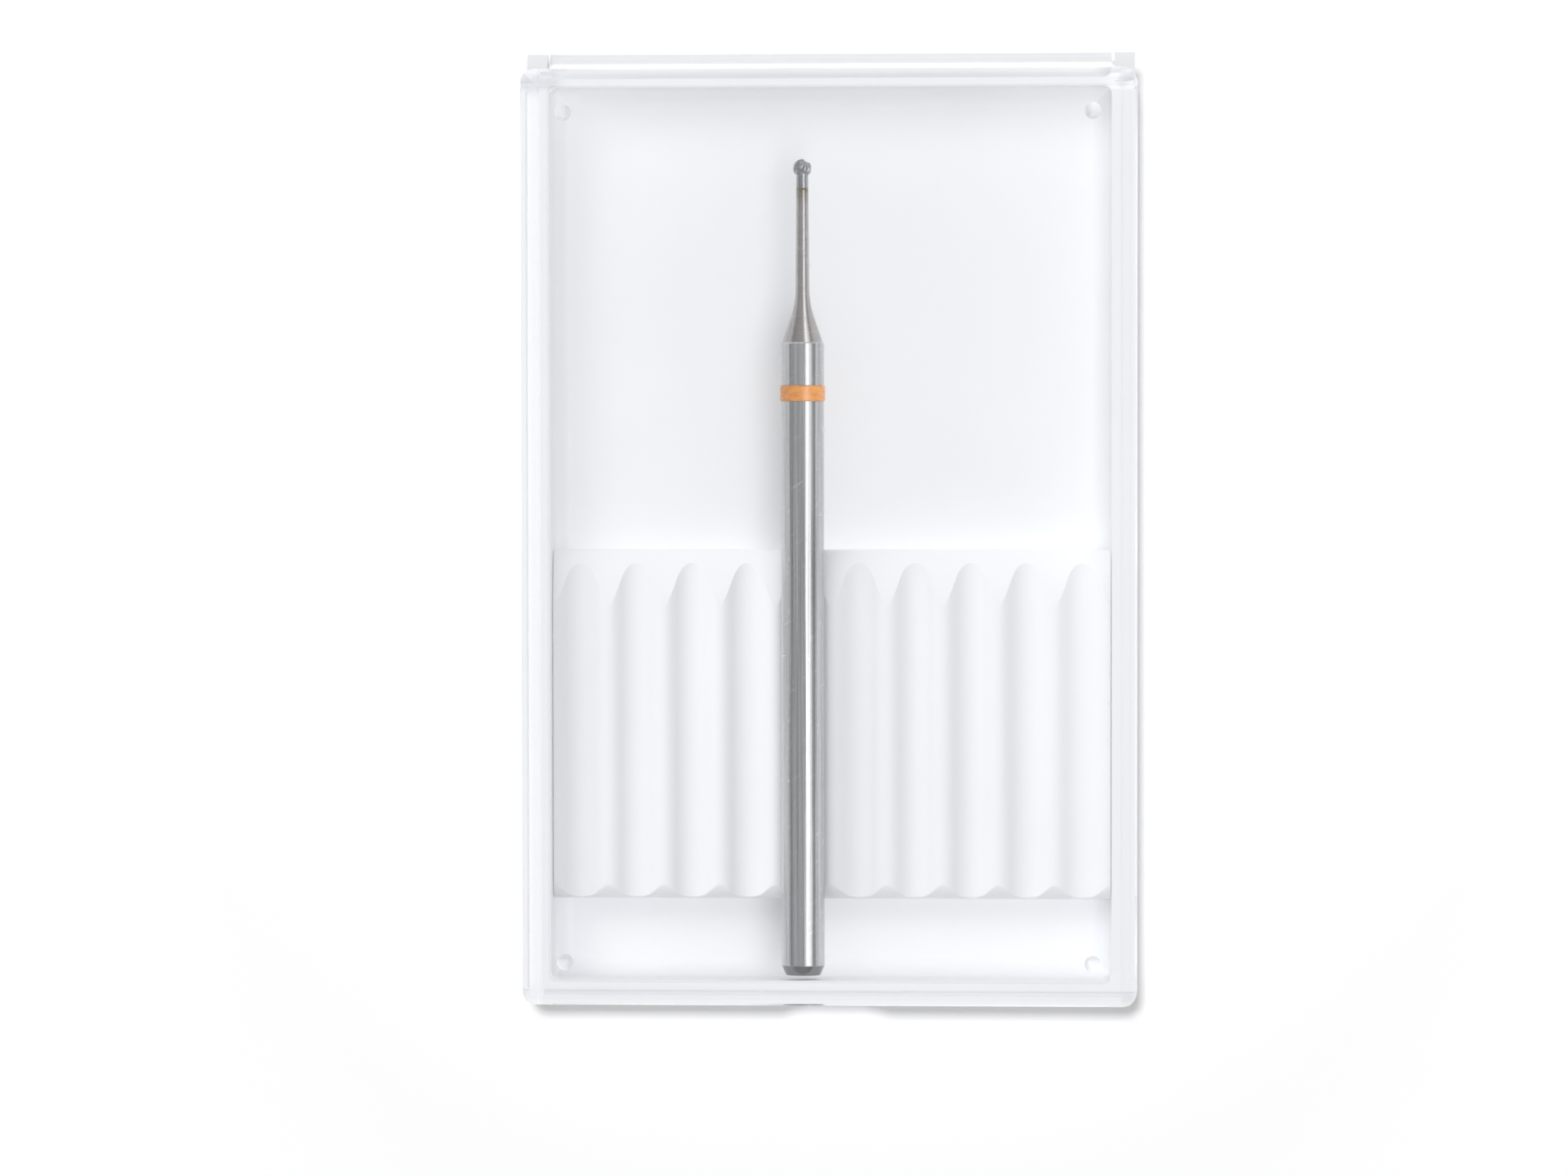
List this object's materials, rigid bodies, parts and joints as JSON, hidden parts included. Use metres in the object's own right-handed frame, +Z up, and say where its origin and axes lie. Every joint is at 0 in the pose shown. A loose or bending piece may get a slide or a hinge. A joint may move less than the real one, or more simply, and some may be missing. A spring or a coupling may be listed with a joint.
{
  "type": "dental round bur in a hinged storage case",
  "caption": "Long-neck round dental bur with a straight shank and orange colour ring, lying in a grooved white tray under a clear hinged lid.",
  "frame": {"origin": "on the table under the middle of the closed case", "axes": "+X across the grooves, +Y along the instrument toward its ball and the hinge, +Z up out of the lid"},
  "size_m": [0.0334, 0.0518, 0.0092],
  "materials": {
    "tray_plastic": "satin moulded white plastic",
    "rack_plastic": "satin moulded white plastic",
    "clear_plastic": "clear glossy plastic with fine handling scuffs",
    "steel": "ground and polished lengthwise",
    "orange_ring": "glossy orange",
    "braze": "heat-tinted",
    "carbide": "ground bright"
  },
  "bodies": {
    "case": {"case_tray": "tray_plastic", "groove_rack": "rack_plastic"},
    "lid": {"case_lid": "clear_plastic"},
    "bur": {"shank": "steel", "colour_ring": "orange_ring", "braze_joint": "braze", "ball_head": "carbide"}
  },
  "joints": [
    {"name": "lid_hinge", "type": "hinge", "parent": "case", "child": "lid", "pos_m": [0, 0.02506, 0.0052], "axis": [-1, 0, 0], "range_deg": [0, 180]},
    {"name": "bur_spin", "type": "hinge", "parent": "case", "child": "bur", "pos_m": [-0.00153, -0.02441, 0.00436], "axis": [0, 1, 0], "continuous": true}
  ]
}
